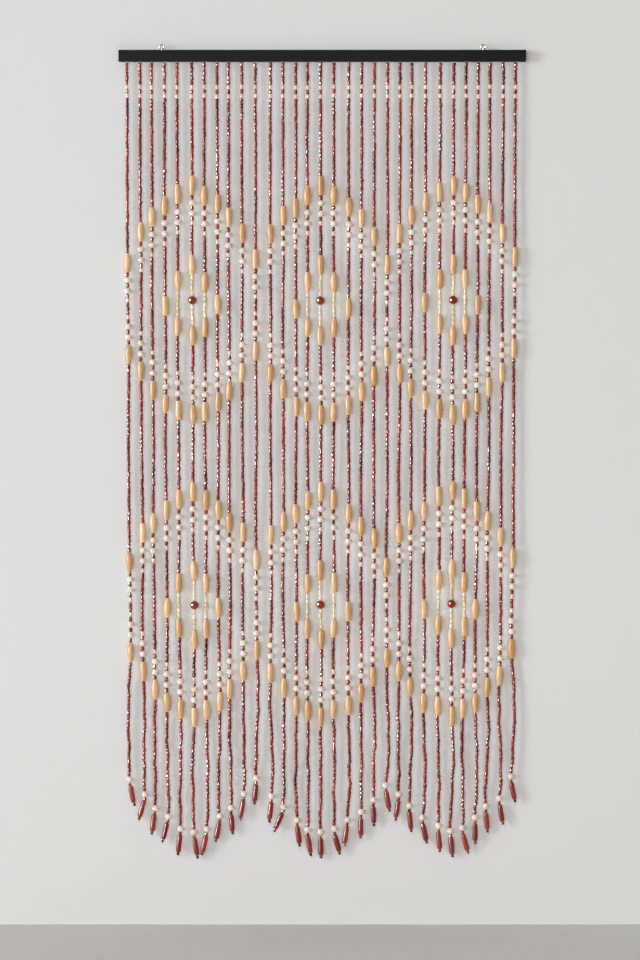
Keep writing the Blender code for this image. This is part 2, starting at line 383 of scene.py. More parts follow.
def slack(index, depth):
    """How far the slack last run hangs aside at this depth in millimetres, in metres."""
    step = step_of(index)
    _, _, slip, _, bow = STRINGS[index]
    start = LOWER_BAND[step][3] + slip
    end = END_BEAD[step] + slip
    along = clamped((depth - start) / (end - start))
    wave = WAVE * math.sin(WAVE_TURN * index) * math.sin(2 * math.pi * along)
    ripple = sum(share * math.sin(depth / length + phase * index) for length, phase, share in RIPPLE_WAVES)
    aside = bow * math.sin(math.pi * along) + ENDS_ASIDE.get(index, 0.0) * along
    return (aside + wave + RIPPLE * min(1.0, RIPPLE_FADE * along) * ripple) * MM


def on_thread(index, depth):
    """The point of a thread at this depth in millimetres, in metres."""
    down = depth * MM
    across = STRINGS[index][0] * MM + RAIL_LOW.x
    drawn_in = across * (1 - DRAW_IN[0] * down - DRAW_IN[1] * down**2)
    x = drawn_in + sway(index, down, SWAY_TURN_X) + slack(index, depth)
    return Vector((x, MID_DEPTH + sway(index, down, SWAY_TURN_Y), RAIL_FOOT - down))


print(f"{len(STRINGS)} threads, {STRINGS[-1][0] - STRINGS[0][0]} mm from the first to the last")

# %% [markdown]
# ## Threading the beads
#
# First come the large beads of the chart: at each edge of a diamond a long bead and two round ones with a
# small one between them, and in the middle of the diamond more long beads, thin straw-coloured ones and
# the ball. The gaps between them are then filled with small red beads, as many as fit. Two cream ones
# near the top and one beside each pair of round beads break up the red.

# %% Reading the chart
BEAD_LENGTH = {
    "long": 43.3,
    "round": 13.5,
    "ball": 18.6,
    "small": 9.9,
    "straw": 11.8,
    "link": 7.0,
    "drop": 38.5,
    "stopper": 6.5,
}
THREAD_SHOWN = 2.0
TOP_RUN = ("red",) * 5 + ("cream", "red", "cream")
LEAST_GAP = 1.0


def arc(start, upwards):
    """The long bead and the two round ones of a diamond's edge, each as (kind, top, length)."""
    long_bead = BEAD_LENGTH["long"]
    round_bead = BEAD_LENGTH["round"]
    small = BEAD_LENGTH["small"]
    offsets = (
        ("long", 0.0, long_bead),
        ("round", long_bead + small, round_bead),
        ("round", long_bead + 2 * small + round_bead, round_bead),
    )
    if upwards:
        return [(kind, start - offset - length, length) for kind, offset, length in reversed(offsets)]
    return [(kind, start + offset, length) for kind, offset, length in offsets]


def run(kind, top, foot, first=(), last=()):
    """A run of like beads from top to foot. first and last are the kinds that begin and end it instead."""
    count = max(1, round((foot - top) / BEAD_LENGTH["small" if kind == "red" else kind]))
    length = (foot - top) / count
    kinds = [kind] * count
    kinds[: len(first)] = first
    if last:
        kinds[-len(last):] = last
    return [(each, top + i * length, length) for i, each in enumerate(kinds)]


def inner_diamond(step, head, foot):
    """The small diamond inside: one long bead, or two with thin beads and the ball between them."""
    if head is None:
        return []
    long_bead = BEAD_LENGTH["long"]
    ball = BEAD_LENGTH["ball"]
    if step == 2:
        return [("long", head, long_bead)]
    straw_top = head + long_bead
    straw_foot = foot - long_bead
    middle = run("straw", straw_top, straw_foot)
    if step == 0:
        ball_top = (head + foot - ball) / 2
        upper = run("straw", straw_top, ball_top)
        lower = run("straw", ball_top + ball, straw_foot)
        middle = upper + [("ball", ball_top, ball)] + lower
    return [("long", head, long_bead), *middle, ("long", straw_foot, long_bead)]


def beads_on(index):
    """Every bead of one thread down to its last round one, as (kind, top, length) in millimetres."""
    step = step_of(index)
    _, slip_up, slip_low, _, _ = STRINGS[index]
    large = []
    for band, slip in ((UPPER_BAND, slip_up), (LOWER_BAND, slip_low)):
        head, inner_head, inner_foot, foot = (row and row + slip for row in band[step])
        inside = inner_diamond(step, inner_head, inner_foot)
        large.append([arc(head, upwards=False), inside, arc(foot, upwards=True)])
    end = ("round", END_BEAD[step] + slip_low - BEAD_LENGTH["round"] / 2, BEAD_LENGTH["round"])

    beads = []
    depth = THREAD_SHOWN
    for upper_arc, inside, lower_arc in large:
        groups = [upper_arc] + ([inside] if inside else []) + [lower_arc]
        for group in groups:
            first = [] if beads else TOP_RUN
            if beads and beads[-1][0] == "round":
                first = ["red", "cream"]
            last = ["cream", "red"] if group[0][0] == "round" else []
            beads += run("red", depth, group[0][1], first, last)
            for kind, top, length in group:
                pale_pair = beads[-1][0] in ("long", "round") and kind in ("long", "round")
                if pale_pair and top - depth > LEAST_GAP:
                    beads.append(("red", depth, top - depth))
                beads.append((kind, top, length))
                depth = top + length
    beads += run("red", depth, end[1])
    return beads + [end]


threaded = {index: beads_on(index) for index in range(len(STRINGS))}
counts = {}
for beads in threaded.values():
    for kind, _, _ in beads:
        counts[kind] = counts.get(kind, 0) + 1
print("beads:", counts)

# %% [markdown]
# ## Turning a bead
#
# A bead is a lathe job: half of its outline is drawn beside the axis and spun once round it. The outline
# runs from the top of the drilled hole over the outside and back up through the hole, so the bead is a
# closed ring and not a ball. The small ones have no drilled wall, only a dimple, because thousands of
# them are needed. Real ones are a little lumpy, so noise pushes the points about. The noise has a fixed
# seed, or each run would turn other beads.

# %% Turning
HOLE_R = 1.1
WELD = 0.00001
LUMP_STEP = 7.3


def turn_bead(outline, sides, lump=0.0, version=0):
    """A turned bead with its middle at the origin, as (points, faces, nearness to an end).

    outline is (height, radius) from the top down, in millimetres. It starts and ends at the hole's rim, or
    on the axis."""
    bm = bmesh.new()
    verts = [bm.verts.new((radius * MM, 0, height * MM)) for height, radius in outline]
    edges = [bm.edges.new(pair) for pair in zip(verts, verts[1:])]
    if outline[0][1] > 0:
        edges.append(bm.edges.new((verts[-1], verts[0])))
    spin = {"cent": (0, 0, 0), "axis": (0, 0, 1), "angle": 2 * math.pi, "steps": sides, "use_merge": True}
    bmesh.ops.spin(bm, geom=verts + edges, **spin)
    bmesh.ops.remove_doubles(bm, verts=bm.verts, dist=WELD)
    bmesh.ops.recalc_face_normals(bm, faces=bm.faces)
    half = max(abs(height) for height, _ in outline) * MM
    for vert in bm.verts:
        where = vert.co / half + Vector((LUMP_STEP * version, 0, 0))
        vert.co += noise.noise_vector(where) * lump * MM
    bm.verts.index_update()
    points = np.array([vert.co for vert in bm.verts])
    faces = [[vert.index for vert in face.verts] for face in bm.faces]
    bm.free()
    return points, faces, np.abs(points[:, 2]) / half


# %% [markdown]
# ## The outlines
#
# Long and round beads come from formulas, which give a smooth curve in as many steps as are wanted. The
# others have corners of their own and are drawn point by point. Long beads differ the most: their belly
# sits high or low, and their ends are blunt or slim, so five shapes are turned. The other kinds make do
# with a few lumpy versions of one shape, and the ball alone is smooth.

# %% Outlines
RIM_DROP = 0.4
RIM_WIDTH = 0.5
BELLY_POWER = 2.2
ROUND_RIM_DROP = 0.5
ROUND_RIM_WIDTH = 0.9


def barrel(length, radius, end_radius, belly, steps):
    """The outline of a long bead: flat ends, and a body that swells to its widest place, the belly."""
    half = length / 2
    outline = [(half - RIM_DROP, HOLE_R), (half, HOLE_R + RIM_WIDTH)]
    for i in range(steps + 1):
        height = half * (1 - 2 * i / steps)
        reach = half - belly if height > belly else half + belly
        from_belly = (height - belly) / reach
        outline.append((height, end_radius + (radius - end_radius) * (1 - abs(from_belly) ** BELLY_POWER)))
    return outline + [(-half, HOLE_R + RIM_WIDTH), (RIM_DROP - half, HOLE_R)]


def round_outline(length, radius, steps):
    """The outline of a round bead, flattened where it is drilled."""
    half = length / 2
    start = math.asin((HOLE_R + ROUND_RIM_WIDTH) / radius)
    outline = [(half - ROUND_RIM_DROP, HOLE_R)]
    for i in range(steps + 1):
        turn = start + (math.pi - 2 * start) * i / steps
        outline.append((half * math.cos(turn) / math.cos(start), radius * math.sin(turn)))
    return outline + [(ROUND_RIM_DROP - half, HOLE_R)]


def versions_of(outline, sides, lump, versions):
    """A few versions of one bead, each lumpy in its own way."""
    return [turn_bead(outline, sides, lump, version) for version in versions]


SMALL_OUTLINE = ((4.6, 0), (4.95, 2.2), (4.1, 3.2), (0, 3.6), (-4.1, 3.2), (-4.95, 2.2), (-4.6, 0))
STRAW_OUTLINE = ((5.4, 0), (5.9, 1.9), (5.0, 3.2), (0, 3.5), (-5.0, 3.2), (-5.9, 1.9), (-5.4, 0))
DROP_OUTLINE = (
    (18.8, HOLE_R),
    (19.25, 2.0),
    (19.2, 3.9),
    (17.8, 4.8),
    (13.0, 5.4),
    (4.0, 5.65),
    (-6.0, 5.75),
    (-14.0, 5.5),
    (-17.8, 4.6),
    (-19.1, 3.2),
    (-19.25, 2.0),
    (-18.8, HOLE_R),
)
LONG_SHAPES = (
    # length, radius, radius of the ends, how far above its middle the bead is widest
    (43.3, 8.0, 4.8, 0.0),
    (42.4, 7.6, 5.2, 4.0),
    (43.8, 8.2, 4.2, -3.0),
    (43.3, 7.6, 5.7, -6.0),
    (42.8, 7.8, 4.4, 8.0),
)
ROUND_BEAD = round_outline(BEAD_LENGTH["round"], radius=7.3, steps=6)
BALL = round_outline(BEAD_LENGTH["ball"], radius=9.5, steps=14)
BEADS = {
    "red": versions_of(SMALL_OUTLINE, sides=10, lump=0.9, versions=range(5)),
    "cream": versions_of(SMALL_OUTLINE, sides=10, lump=0.5, versions=range(3)),
    "straw": versions_of(STRAW_OUTLINE, sides=8, lump=0.8, versions=range(3)),
    "round": versions_of(ROUND_BEAD, sides=12, lump=0.7, versions=range(3)),
    "long": [turn_bead(barrel(*shape, 8), 14, 1.2, version) for version, shape in enumerate(LONG_SHAPES)],
    "ball": [turn_bead(BALL, sides=28)],
    "drop": versions_of(DROP_OUTLINE, sides=16, lump=0.8, versions=range(3)),
    "stopper": versions_of(SMALL_OUTLINE, sides=12, lump=0.9, versions=range(5, 8)),
}
for kind, versions in BEADS.items():
    print(f"{kind}: {len(versions)} versions of {len(versions[0][1])} faces")

# %% [markdown]
# ## Hanging each bead
#
# Every bead gets its own place: in line with its thread, turned by chance about it, a touch out of true,
# and a little longer or shorter than the next. Small beads are the most uneven. Below the last round bead
# a short red one, the drop and a stopper hang on the free end, which leans as the list says.

# %% Placing beads
UNEVEN = {
    # kind: shift in mm, tilt in degrees, spread of width, spread of length
    "red": (0.30, 3.2, 0.05, 0.02),
    "cream": (0.25, 2.0, 0.04, 0.02),
    "straw": (0.35, 2.5, 0.14, 0.04),
    "round": (0.20, 4.0, 0.03, 0.02),
    "long": (0.15, 0.7, 0.035, 0.02),
    "ball": (0.0, 6.0, 0.0, 0.0),
    "drop": (0.0, 0.8, 0.03, 0.02),
    "stopper": (0.0, 6.0, 0.04, 0.05),
}
# The length that each kind is drawn at. These three kinds are all turned from the small outline.
SMALL_KINDS = ("red", "cream", "stopper")
OUTLINE_LENGTH = {kind: BEAD_LENGTH["small" if kind in SMALL_KINDS else kind] for kind in UNEVEN}
GAP_CHANCE = 0.03
GAP = 1.2
LOT_LENGTH = 70.0
LOT_STEP = 7.7
LOT_SHARE = 0.5
SHINE_LENGTH = 110.0
SHINE_STEP = 3.1
SHINE_PLANE = 9.0
SHINE_MIDDLE = 0.35
SHINE_SWING = 1.1
SHINE_CHANCE = 0.35
FREE_END = (
    # length, shape, width
    ("link", "red", 0.96),
    ("drop", "drop", 1.0),
    ("stopper", "stopper", 0.86),
)
FREE_SHINE = (0.3, 1.0)


def hang_bead(kind, upper, lower, length, width=1.0):
    """The matrix of one bead that is threaded between two points, length millimetres long."""
    shift, tilt, width_spread, length_spread = UNEVEN[kind]
    along = (upper - lower).to_track_quat("Z", "Y").to_matrix().to_4x4()
    off_true = Euler([math.radians(chance.gauss(0, tilt)) for _ in range(2)] + [0]).to_matrix().to_4x4()
    about = Matrix.Rotation(chance.uniform(0, 2 * math.pi), 4, "Z")
    wide = width * (1 + chance.uniform(-width_spread, width_spread))
    tall = length / OUTLINE_LENGTH[kind] * (1 - chance.uniform(0, length_spread))
    aside = Vector((chance.gauss(0, shift) * MM, chance.gauss(0, shift) * MM, 0))
    place = Matrix.Translation((upper + lower) / 2 + aside)
    return place @ along @ off_true @ about @ Matrix.Diagonal((wide, wide, tall, 1))


def tone_of(index, depth):
    """A bead's tone from light, 0, to dark, 1. Beads come in lots, so neighbours are somewhat alike."""
    lot = 0.5 + noise.noise(Vector((LOT_STEP * index, depth / LOT_LENGTH, 0)))
    return clamped(LOT_SHARE * lot + (1 - LOT_SHARE) * chance.random())


def shine_of(index, depth):
    """How glossy a bead is, from 0 to 1. Some stretches of a thread sparkle and others are nearly satin."""
    stretch = noise.noise(Vector((SHINE_STEP * index, depth / SHINE_LENGTH, SHINE_PLANE)))
    return clamped(SHINE_MIDDLE + SHINE_SWING * stretch + chance.uniform(-SHINE_CHANCE, SHINE_CHANCE))


def free_end(index):
    """Where a thread's free end starts, and the matrix that leans it."""
    pivot = on_thread(index, threaded[index][-1][1] + BEAD_LENGTH["round"])
    return pivot, Matrix.Rotation(math.radians(-STRINGS[index][3]), 3, "Y")


def hang_thread(index):
    """Every bead of one thread as (kind, matrix, tone, shine)."""
    hung = []
    for kind, top, length in threaded[index]:
        shown = length - GAP if kind in ("red", "cream") and chance.random() < GAP_CHANCE else length
        place = hang_bead(kind, on_thread(index, top), on_thread(index, top + length), shown)
        shine = 1.0 if kind == "ball" else shine_of(index, top)
        hung.append((kind, place, tone_of(index, top), shine))
    pivot, lean = free_end(index)
    below = 0.0
    for part, shape, width in FREE_END:
        upper = pivot + lean @ Vector((0, 0, -below * MM))
        below += BEAD_LENGTH[part]
        lower = pivot + lean @ Vector((0, 0, -below * MM))
        place = hang_bead(shape, upper, lower, BEAD_LENGTH[part], width)
        hung.append((shape, place, chance.random(), chance.uniform(*FREE_SHINE)))
    return hung


hung_beads = {}
for name, column in COLUMNS.items():
    hung_beads[name] = [bead for index in column for bead in hang_thread(index)]
print("hung:", {name: len(beads) for name, beads in hung_beads.items()})

# %% [markdown]
# ## Joining them
#
# Thousands of separate objects would be slow, so all beads of a kind in a column become one mesh: the
# turned bead's points are repeated at every place. Each bead keeps a few things of its own as attributes,
# which the finishes read: its tone and shine, its nearness to its ends, and its place in the wood that it
# was cut from.

# %% Joining
WOOD_SPREAD = 400.0
SHARP_ANGLE = math.radians(50)


def join_beads(name, kind, column, material):
    """One mesh of all the beads of a kind in a column, in place of that column's node in the frame."""
    points, faces, tone, shine, end, wood = [], [], [], [], [], []
    start = 0
    for bead_kind, matrix, bead_tone, bead_shine in hung_beads[column]:
        if bead_kind != kind:
            continue
        local, local_faces, to_end = chance.choice(BEADS[kind])
        turned = np.array(matrix.to_3x3())
        points.append(local @ turned.T + np.array(matrix.translation))
        faces += [[start + corner for corner in face] for face in local_faces]
        tone.append(np.full(len(local), bead_tone))
        shine.append(np.full(len(local), bead_shine))
        end.append(to_end)
        cut_from = np.array([chance.uniform(0, WOOD_SPREAD) for _ in range(3)])
        wood.append(local / MM + cut_from)
        start += len(local)
    mesh = bpy.data.meshes.new(name)
    mesh.from_pydata(np.concatenate(points).tolist(), [], faces)
    for label, kind_of, key, values in (
        ("tone", "FLOAT", "value", tone),
        ("shine", "FLOAT", "value", shine),
        ("end", "FLOAT", "value", end),
        ("wood", "FLOAT_VECTOR", "vector", wood),
    ):
        attribute = mesh.attributes.new(label, kind_of, "POINT")
        attribute.data.foreach_set(key, np.concatenate(values).astype(np.float32).ravel())
    mesh.shade_smooth()
    mesh.set_sharp_from_angle(angle=SHARP_ANGLE)
    return show(name, mesh, column, material)


def show(name, mesh, column, material):
    """A finished piece in the scene, in place of its column's node."""
    mesh.materials.append(material)
    obj = bpy.data.objects.new(name, mesh)
    bpy.context.scene.collection.objects.link(obj)
    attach(obj, "root")
    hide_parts(f"strings_{column}")
    return obj


# %% [markdown]
# ## Effects that finishes share
#
# Three effects serve the beads' finishes, so each is a node group: grain, tone and lacquer. A finish
# fills in a group's inputs, and the group itself reads what each bead keeps of its own.

# %% Group helpers
def new_group(name, inputs, outputs):
    """An empty node group with its sockets, and its two end nodes."""
    group = bpy.data.node_groups.new(name, "ShaderNodeTree")
    for label, kind, value in inputs:
        socket = group.interface.new_socket(label, in_out="INPUT", socket_type=f"NodeSocket{kind}")
        socket.default_value = value
    for label, kind in outputs:
        group.interface.new_socket(label, in_out="OUTPUT", socket_type=f"NodeSocket{kind}")
    return group, group.nodes.new("NodeGroupInput"), group.nodes.new("NodeGroupOutput")


def use_group(tree, group, **sockets):
    """A node that holds the group, with its inputs filled in."""
    return add_node(tree, "ShaderNodeGroup", {"node_tree": group}, **sockets)


def math_node(tree, operation, first, second=0.5, clamp=False):
    """One sum on two values. The math node's socket names repeat, so they are taken by number."""
    props = {"operation": operation, "use_clamp": clamp}
    return add_node(tree, "ShaderNodeMath", props, i0=first, i1=second).outputs["Value"]


def spread(tree, value, low, high):
    """The value's range low to high, stretched to 0 to 1."""
    return add_node(tree, "ShaderNodeMapRange", Value=value, From_Min=low, From_Max=high).outputs["Result"]


def between(tree, value, low, high):
    """A value from 0 to 1, moved into the range low to high."""
    return add_node(tree, "ShaderNodeMapRange", Value=value, To_Min=low, To_Max=high).outputs["Result"]


def own(tree, label, output="Fac"):
    """What a bead keeps of its own under this label."""
    return add_node(tree, "ShaderNodeAttribute", {"attribute_name": label}).outputs[output]


# %% [markdown]
# ## Grain
#
# Grain runs along a wooden bead. A picture of grain would have to be wrapped round every bead, so it is
# made from noise that is stretched along the bead instead: a fine one for the fibres and a broad one for
# the bands. Together they mix a brown into the pale wood.

# %% Grain
GRAIN_STRETCH = 0.07

grain_group, ends_in, ends_out = new_group(
    "wood_grain",
    [
        ("Pale", "Color", (0.8, 0.6, 0.4, 1)),
        ("Brown", "Color", (0.5, 0.3, 0.1, 1)),
        ("Fine", "Float", 0.5),
        ("Strength", "Float", 0.5),
    ],
    [("Color", "Color"), ("Height", "Float")],
)
wood = own(grain_group, "wood", "Vector")
stretch = add_node(grain_group, "ShaderNodeMapping", Vector=wood, Scale=(1, 1, GRAIN_STRETCH))
along = stretch.outputs["Vector"]
fibre = noise_value(grain_group, Vector=along, Scale=1.6, Detail=4.0, Distortion=0.3)
band = noise_value(grain_group, Vector=along, Scale=0.28, Detail=2.0, Distortion=1.2)
bands = spread(grain_group, band, 0.38, 0.62)
fibres = spread(grain_group, fibre, 0.30, 0.70)
both = add_node(grain_group, "ShaderNodeMix", i0=ends_in.outputs["Fine"], i2=bands, i3=fibres).outputs[0]
grain = math_node(grain_group, "MULTIPLY", both, ends_in.outputs["Strength"])
colour = mix_colour(grain_group, grain, ends_in.outputs["Pale"], ends_in.outputs["Brown"])
grain_group.links.new(colour, ends_out.inputs["Color"])
grain_group.links.new(fibres, ends_out.inputs["Height"])
print(f"{grain_group.name}: {len(grain_group.nodes)} nodes")

# %% [markdown]
# ## Tone
#
# No two beads of a kind have quite the same colour. A material for each would be far too many, so one
# material mixes a light and a dark colour by the tone that each bead keeps, and noise mottles it a
# little.

# %% Tone
tone_group, ends_in, ends_out = new_group(
    "bead_tone",
    [("Light", "Color", (0.4, 0.1, 0.1, 1)), ("Dark", "Color", (0.1, 0, 0, 1)), ("Mottle", "Float", 0.2)],
    [("Color", "Color")],
)
patch = noise_value(tone_group, Vector=own(tone_group, "wood", "Vector"), Scale=0.35, Detail=3.0)
centred = math_node(tone_group, "SUBTRACT", patch)
wander = math_node(tone_group, "MULTIPLY", centred, ends_in.outputs["Mottle"])
amount = math_node(tone_group, "ADD", own(tone_group, "tone"), wander, clamp=True)
colour = mix_colour(tone_group, amount, ends_in.outputs["Light"], ends_in.outputs["Dark"])
tone_group.links.new(colour, ends_out.inputs["Color"])
print(f"{tone_group.name}: {len(tone_group.nodes)} nodes")

# %% [markdown]
# ## Lacquer
#
# Lacquer that beads are dipped in dries in small waves, which break up the glints, and it wears off at
# the ends, where beads rub on each other. The wear here grows towards a bead's ends and is broken up by
# noise. Where it shows, the bare wood comes through and the surface is rougher.

# %% Lacquer
WORN_FROM = 0.80
WORN_TO = 1.02
WORN_ROUGHNESS = 0.4

lacquer_group, ends_in, ends_out = new_group(
    "lacquer",
    [("Colour", "Color", (0.4, 0.1, 0.1, 1)), ("Bare", "Color", (0.6, 0.4, 0.2, 1)), ("Wear", "Float", 0.3)],
    [("Color", "Color"), ("Height", "Float"), ("Roughness", "Float")],
)
wood = own(lacquer_group, "wood", "Vector")
wave = noise_value(lacquer_group, Vector=wood, Scale=0.45, Detail=2.0)
chip = noise_value(lacquer_group, Vector=wood, Scale=1.1, Detail=3.0)
near_end = spread(lacquer_group, own(lacquer_group, "end"), WORN_FROM, WORN_TO)
chipped = math_node(lacquer_group, "MULTIPLY", near_end, spread(lacquer_group, chip, 0.45, 0.60))
worn = math_node(lacquer_group, "MULTIPLY", chipped, ends_in.outputs["Wear"], clamp=True)
colour = mix_colour(lacquer_group, worn, ends_in.outputs["Colour"], ends_in.outputs["Bare"])
lacquer_group.links.new(colour, ends_out.inputs["Color"])
lacquer_group.links.new(wave, ends_out.inputs["Height"])
lacquer_group.links.new(between(lacquer_group, worn, 0.0, WORN_ROUGHNESS), ends_out.inputs["Roughness"])
print(f"{lacquer_group.name}: {len(lacquer_group.nodes)} nodes")

# %% [markdown]
# ## The beads' finishes
#
# The small red beads are dipped in a thick lacquer, brick red to wine, no two alike. The cream ones are
# painted, the round ones only stained, and the long ones left bare, with a thin wax that keeps the grain.

# %% Bead finishes
RAW_WOOD = (0.55, 0.36, 0.20, 1)
DULLEST = 0.1


def lacquered(name, light, dark, mottle, wear, roughness, coat, coat_ior, waves):
    """Lacquer over wood: a colour for each bead, small waves in the gloss, and wear at the ends."""
    material, tree = new_material(name)
    tone = use_group(tree, tone_group, Light=light, Dark=dark, Mottle=mottle)
    lacquer = use_group(tree, lacquer_group, Colour=tone.outputs["Color"], Bare=RAW_WOOD, Wear=wear)
    relief = raised(tree, lacquer.outputs["Height"], strength=waves, distance=0.0006)
    close_principled(
        tree,
        Base_Color=lacquer.outputs["Color"],
        Roughness=math_node(tree, "ADD", lacquer.outputs["Roughness"], roughness),
        Normal=relief,
        Coat_Weight=between(tree, own(tree, "shine"), DULLEST * coat, coat),
        Coat_Roughness=0.08,
        Coat_IOR=coat_ior,
        Coat_Normal=relief,
        Specular_IOR_Level=0.10,
    )
    return material


def bare_wood(name, light, dark, brown, strength, roughness, coat):
    """Waxed or stained wood: each bead's own tone, with grain along it."""
    material, tree = new_material(name)
    tone = use_group(tree, tone_group, Light=light, Dark=dark, Mottle=0.5)
    pale = tone.outputs["Color"]
    grain = use_group(tree, grain_group, Pale=pale, Brown=brown, Fine=0.4, Strength=strength)
    close_principled(
        tree,
        Base_Color=grain.outputs["Color"],
        Roughness=roughness,
        Normal=raised(tree, grain.outputs["Height"], strength=0.25, distance=0.0003),
        Specular_IOR_Level=0.12,
        Coat_Weight=coat,
        Coat_Roughness=0.3,
        Subsurface_Weight=0.7,
        Subsurface_Radius=(1.0, 0.6, 0.3),
        Subsurface_Scale=0.005,
    )
    return material


FINISHES = {
    "red": lacquered(
        "bead_red",
        light=(0.41, 0.050, 0.028, 1),
        dark=(0.10, 0.005, 0.006, 1),
        mottle=0.6,
        wear=0.25,
        roughness=0.35,
        coat=1.0,
        coat_ior=1.6,
        waves=0.8,
    ),
    "cream": lacquered(
        "bead_cream",
        light=(0.95, 0.76, 0.62, 1),
        dark=(0.80, 0.58, 0.44, 1),
        mottle=0.3,
        wear=0.3,
        roughness=0.35,
        coat=0.6,
        coat_ior=1.5,
        waves=0.4,
    ),
    "round": bare_wood(
        "bead_ivory",
        light=(0.98, 0.90, 0.81, 1),
        dark=(0.86, 0.73, 0.61, 1),
        brown=(0.74, 0.58, 0.45, 1),
        strength=0.25,
        roughness=0.6,
        coat=0.0,
    ),
    "long": bare_wood(
        "bead_wood",
        light=(0.98, 0.74, 0.47, 1),
        dark=(0.66, 0.38, 0.16, 1),
        brown=(0.52, 0.25, 0.08, 1),
        strength=0.5,
        roughness=0.42,
        coat=0.03,
    ),
    "straw": bare_wood(
        "bead_straw",
        light=(0.97, 0.86, 0.68, 1),
        dark=(0.70, 0.54, 0.33, 1),
        brown=(0.60, 0.46, 0.28, 1),
        strength=0.3,
        roughness=0.4,
        coat=0.15,
    ),
    "ball": lacquered(
        "bead_ball",
        light=(0.34, 0.034, 0.010, 1),
        dark=(0.24, 0.020, 0.006, 1),
        mottle=0.4,
        wear=0.1,
        roughness=0.25,
        coat=0.8,
        coat_ior=1.5,
        waves=0.1,
    ),
    "drop": lacquered(
        "bead_drop",
        light=(0.37, 0.056, 0.036, 1),
        dark=(0.22, 0.026, 0.018, 1),
        mottle=0.7,
        wear=0.35,
        roughness=0.40,
        coat=0.25,
        coat_ior=1.5,
        waves=0.5,
    ),
    "stopper": lacquered(
        "bead_stopper",
        light=(0.16, 0.022, 0.018, 1),
        dark=(0.05, 0.006, 0.006, 1),
        mottle=0.6,
        wear=0.5,
        roughness=0.45,
        coat=0.3,
        coat_ior=1.8,
        waves=0.9,
    ),
}
for column in COLUMNS:
    for kind, material in FINISHES.items():
        piece = join_beads(f"{kind}_beads_{column}", kind, column, material)
        print(f"{piece.name}: {len(piece.data.polygons)} faces")

# %% [markdown]
# ## Thread and strip
#
# The beads run on a white twisted thread. It shows for two millimetres under the batten, in the odd gap,
# and as a knot with a short tail under each stopper. A tube that follows every third bead is fine enough.
# At the top the threads are fixed to three narrow strips in the batten's groove.

# %% Thread
THREAD_R = 0.0006
KNOT_R = 0.0016
TAIL = 0.006
TAIL_ASIDE = (-0.5, 0.9)
TAIL_FORWARD = (-0.3, 0.3)
TAIL_SPREAD = (0.5, 1.3)
STRIP_HEIGHT = 0.005
STRIP_INSIDE = 0.0077
STRIP_TOP = RAIL_FOOT + STRIP_INSIDE
STRIP_WIDTH = 0.0054
STRIP_EDGE = 0.0005
EVERY = 3

thread_white, tree = new_material("thread_white")
where = add_node(tree, "ShaderNodeTexCoord").outputs["Object"]
diagonal = {"bands_direction": "DIAGONAL"}
ply = add_node(tree, "ShaderNodeTexWave", diagonal, Vector=where, Scale=900.0, Distortion=2.0).outputs["Fac"]
close_principled(
    tree,
    Base_Color=mix_colour(tree, ply, (0.88, 0.86, 0.81, 1), (0.70, 0.67, 0.61, 1)),
    Roughness=0.85,
    Normal=raised(tree, ply, strength=0.5, distance=0.0002),
    Sheen_Weight=0.3,
)


def thread_points(index):
    """The thread's own route: through the beads, then down the leaning free end to its knot and tail."""
    start = -(STRIP_TOP - STRIP_HEIGHT - RAIL_FOOT) / MM
    depths = [start] + [top for _, top, _ in threaded[index][::EVERY]]
    points = [on_thread(index, depth) for depth in depths]
    pivot, lean = free_end(index)
    free = sum(BEAD_LENGTH[part] for part, _, _ in FREE_END) * MM
    knot = pivot + lean @ Vector((0, 0, -free - KNOT_R))
    aside = Vector((chance.uniform(*TAIL_ASIDE), chance.uniform(*TAIL_FORWARD), -1)).normalized()
    return points + [pivot, knot, knot + aside * TAIL * chance.uniform(*TAIL_SPREAD)]


def thread_mesh(name, column):
    """The column's threads as one mesh, each a tube that ends in a knot."""
    curve = bpy.data.curves.new(name, "CURVE")
    curve.dimensions = "3D"
    curve.bevel_depth = THREAD_R
    curve.bevel_resolution = 1
    curve.use_fill_caps = True
    routes = [thread_points(index) for index in column]
    for points in routes:
        spline = curve.splines.new("POLY")
        spline.points.add(len(points) - 1)
        for point, at in zip(spline.points, points):
            point.co = (*at, 1)
    tube = bpy.data.objects.new(name, curve)
    bpy.context.scene.collection.objects.link(tube)
    mesh = bpy.data.meshes.new_from_object(tube.evaluated_get(bpy.context.evaluated_depsgraph_get()))
    bpy.data.objects.remove(tube)
    bm = bmesh.new()
    bm.from_mesh(mesh)
    bmesh.ops.remove_doubles(bm, verts=bm.verts, dist=WELD)
    for points in routes:
        place = Matrix.Translation(points[-2])
        bmesh.ops.create_icosphere(bm, subdivisions=2, radius=KNOT_R, matrix=place)
    bmesh.ops.recalc_face_normals(bm, faces=bm.faces)
    bm.to_mesh(mesh)
    bm.free()
    mesh.shade_smooth()
    return mesh


def strip_mesh(name, column):
    """The strip that holds a column's threads: a thin lath with its edges broken."""
    low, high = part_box(f"strings_{column}")
    size = Matrix.Diagonal((high.x - low.x, STRIP_WIDTH, STRIP_HEIGHT, 1))
    place = Matrix.Translation(((low.x + high.x) / 2, MID_DEPTH, STRIP_TOP - STRIP_HEIGHT / 2))
    bm = bmesh.new()
    bmesh.ops.create_cube(bm, size=1, matrix=place @ size)
    bmesh.ops.bevel(
        bm,
        geom=bm.edges,
        offset=STRIP_EDGE,
        offset_type="OFFSET",
        segments=2,
        profile=0.5,
        affect="EDGES",
        material=-1,
    )
    mesh = bpy.data.meshes.new(name)
    bm.to_mesh(mesh)
    bm.free()
    return mesh


for column, indices in COLUMNS.items():
    name = f"threads_{column}"
    piece = show(name, thread_mesh(name, indices), column, thread_white)
    print(f"{piece.name}: {len(piece.data.polygons)} faces")

